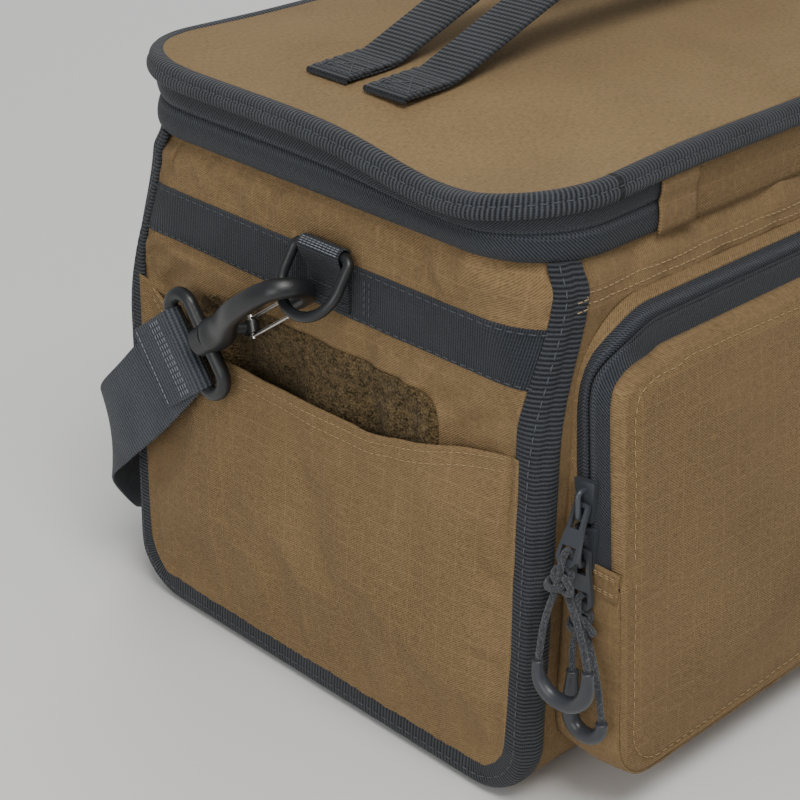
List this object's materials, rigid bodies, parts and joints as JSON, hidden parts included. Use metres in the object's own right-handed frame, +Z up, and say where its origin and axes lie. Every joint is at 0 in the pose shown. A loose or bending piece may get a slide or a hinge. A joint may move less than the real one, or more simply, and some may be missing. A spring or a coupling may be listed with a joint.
{
  "type": "battery safety bag",
  "caption": "Padded soft box bag for storing model batteries, with a zipped hinged lid, zipped front pocket, end pockets, carry handles and a clip-on shoulder strap.",
  "frame": {"origin": "on the surface that the bag stands on, under the middle of its box with the shoulder strap stowed behind it", "axes": "+Z up, X along the bag, -Y the side with the front pocket and the lid hinge"},
  "size_m": [0.4696, 0.3586, 0.3185],
  "materials": {
    "coyote_ripstop": "woven ripstop, matte",
    "coyote_lid_cloth": "plain woven, matte",
    "grey_binding": "grosgrain tape",
    "grey_zip": "woven zip tape with nylon coil",
    "grey_webbing": "woven webbing",
    "grey_padding": "padded mesh cloth",
    "fire_cloth": "coated glass-fibre cloth",
    "divider_cloth": "brushed loop cloth over foam",
    "foam": "closed-cell foam",
    "board": "stiff sheet",
    "loop_pile": "loop pile",
    "black_plastic": "moulded acetal",
    "steel_wire": "drawn wire",
    "zip_metal": "satin enamel",
    "pull_cord": "braided cord",
    "grip_rubber": "matte moulded"
  },
  "bodies": {
    "root": {"front_panel": "coyote_ripstop", "back_panel": "coyote_ripstop", "bottom_panel": "coyote_ripstop", "end_panel_left": "coyote_ripstop", "edge_binding_left": "grey_binding", "end_panel_right": "coyote_ripstop", "edge_binding_right": "grey_binding", "front_foam": "foam", "back_foam": "foam", "end_foam_left": "foam", "end_foam_right": "foam", "base_board": "board", "fire_liner": "fire_cloth", "divider_left": "divider_cloth", "divider_right": "divider_cloth", "zip_tape_body": "grey_zip", "lid_hinge_strip": "coyote_ripstop", "zip_end_tabs": "coyote_ripstop", "side_strap_left": "grey_webbing", "loop_panel_left": "loop_pile", "slip_pocket_left": "coyote_ripstop", "side_strap_right": "grey_webbing", "loop_panel_right": "loop_pile", "slip_pocket_right": "coyote_ripstop", "pocket_tape_body": "grey_zip", "pocket_box": "coyote_ripstop", "ring_loop_left": "grey_webbing", "swivel_loop_left": "black_plastic", "ring_loop_right": "grey_webbing", "swivel_loop_right": "black_plastic", "shoulder_strap": "grey_webbing"},
    "lid": {"lid_panel": "coyote_lid_cloth", "lid_band": "grey_zip", "lid_binding": "grey_binding", "lid_foam": "foam", "lid_liner": "fire_cloth", "handle_strap_front": "grey_webbing", "handle_strap_rear": "grey_webbing"},
    "pocket_flap": {"pocket_flap": "coyote_ripstop"},
    "pocket_slider_1": {"pocket_slider_1": "zip_metal"},
    "pocket_slider_2": {"pocket_slider_2": "zip_metal"},
    "pocket_puller_1": {"pocket_puller_1": "zip_metal", "pull_cord_1": "pull_cord", "pull_grip_1": "grip_rubber"},
    "pocket_puller_2": {"pocket_puller_2": "zip_metal", "pull_cord_2": "pull_cord", "pull_grip_2": "grip_rubber"},
    "lid_slider_1": {"lid_slider_1": "zip_metal"},
    "lid_slider_2": {"lid_slider_2": "zip_metal"},
    "lid_puller_1": {"lid_puller_1": "zip_metal"},
    "lid_puller_2": {"lid_puller_2": "zip_metal"},
    "d_ring_left": {"d_ring_left": "black_plastic"},
    "d_ring_right": {"d_ring_right": "black_plastic"},
    "snap_hook_left": {"snap_hook_left": "black_plastic"},
    "snap_hook_right": {"snap_hook_right": "black_plastic"},
    "hook_gate_left": {"hook_gate_left": "steel_wire"},
    "hook_gate_right": {"hook_gate_right": "steel_wire"},
    "tri_glide": {"tri_glide": "black_plastic"},
    "shoulder_pad": {"shoulder_pad": "grey_padding"}
  },
  "joints": [
    {"name": "lid_hinge", "type": "hinge", "parent": "root", "child": "lid", "pos_m": [0, -0.145, 0.264], "axis": [1, 0, 0], "range_deg": [0, 170]},
    {"name": "pocket_flap_hinge", "type": "hinge", "parent": "root", "child": "pocket_flap", "pos_m": [0, -0.172, 0.121], "axis": [1, 0, 0], "range_deg": [0, 140]},
    {"name": "pocket_slider_1_slide", "type": "slide", "parent": "root", "child": "pocket_slider_1", "axis": [0, 0.0925, 0.9957], "range_m": [0, 0.016]},
    {"name": "pocket_slider_2_slide", "type": "slide", "parent": "root", "child": "pocket_slider_2", "axis": [0, 0.0925, 0.9957], "range_m": [0, 0.0025]},
    {"name": "pocket_puller_1_hinge", "type": "hinge", "parent": "pocket_slider_1", "child": "pocket_puller_1", "pos_m": [-0.1863, -0.15304, 0.15286], "axis": [0, 0.9957, -0.0925], "range_deg": [0, 85]},
    {"name": "pocket_puller_2_hinge", "type": "hinge", "parent": "pocket_slider_2", "child": "pocket_puller_2", "pos_m": [-0.1863, -0.15498, 0.13195], "axis": [0, 0.9957, -0.0925], "range_deg": [0, 3]},
    {"name": "lid_slider_1_slide", "type": "slide", "parent": "root", "child": "lid_slider_1", "axis": [-1, 0, 0], "range_m": [0, 0.11]},
    {"name": "lid_puller_1_hinge", "type": "hinge", "parent": "lid_slider_1", "child": "lid_puller_1", "pos_m": [-0.013, 0.1153, 0.264], "axis": [0, 0, -1], "range_deg": [0, 85]},
    {"name": "lid_slider_2_slide", "type": "slide", "parent": "root", "child": "lid_slider_2", "axis": [1, 0, 0], "range_m": [0, 0.11]},
    {"name": "lid_puller_2_hinge", "type": "hinge", "parent": "lid_slider_2", "child": "lid_puller_2", "pos_m": [0.013, 0.1153, 0.264], "axis": [0, 0, 1], "range_deg": [0, 85]},
    {"name": "d_ring_left_hinge", "type": "hinge", "parent": "root", "child": "d_ring_left", "pos_m": [-0.2066, -0.024, 0.229], "axis": [0, 1, 0], "range_deg": [-3, 5]},
    {"name": "snap_hook_left_swivel", "type": "hinge", "parent": "root", "child": "snap_hook_left", "pos_m": [-0.21971, -0.01226, 0.20802], "axis": [-0.0046, 0.8032, -0.5957], "range_deg": [-12, 12]},
    {"name": "hook_gate_left_hinge", "type": "hinge", "parent": "snap_hook_left", "child": "hook_gate_left", "pos_m": [-0.20807, 0.02055, 0.17832], "axis": [-0.342, -0.561, -0.7538], "range_deg": [0, 20], "stiffness_Nm_per_rad": 0.002, "springref_deg": -17.19},
    {"name": "d_ring_right_hinge", "type": "hinge", "parent": "root", "child": "d_ring_right", "pos_m": [0.2066, -0.024, 0.229], "axis": [0, -1, 0], "range_deg": [-3, 5]},
    {"name": "snap_hook_right_swivel", "type": "hinge", "parent": "root", "child": "snap_hook_right", "pos_m": [0.21971, -0.01226, 0.20802], "axis": [-0.0046, -0.8032, 0.5957], "range_deg": [-12, 12]},
    {"name": "hook_gate_right_hinge", "type": "hinge", "parent": "snap_hook_right", "child": "hook_gate_right", "pos_m": [0.20807, 0.02055, 0.17832], "axis": [-0.342, 0.561, 0.7538], "range_deg": [0, 20], "stiffness_Nm_per_rad": 0.002, "springref_deg": -17.19},
    {"name": "tri_glide_slide", "type": "slide", "parent": "root", "child": "tri_glide", "axis": [1, 0, 0], "range_m": [-0.006, 0.01]},
    {"name": "shoulder_pad_slide", "type": "slide", "parent": "root", "child": "shoulder_pad", "axis": [1, 0, 0], "range_m": [-0.012, 0.006]}
  ]
}
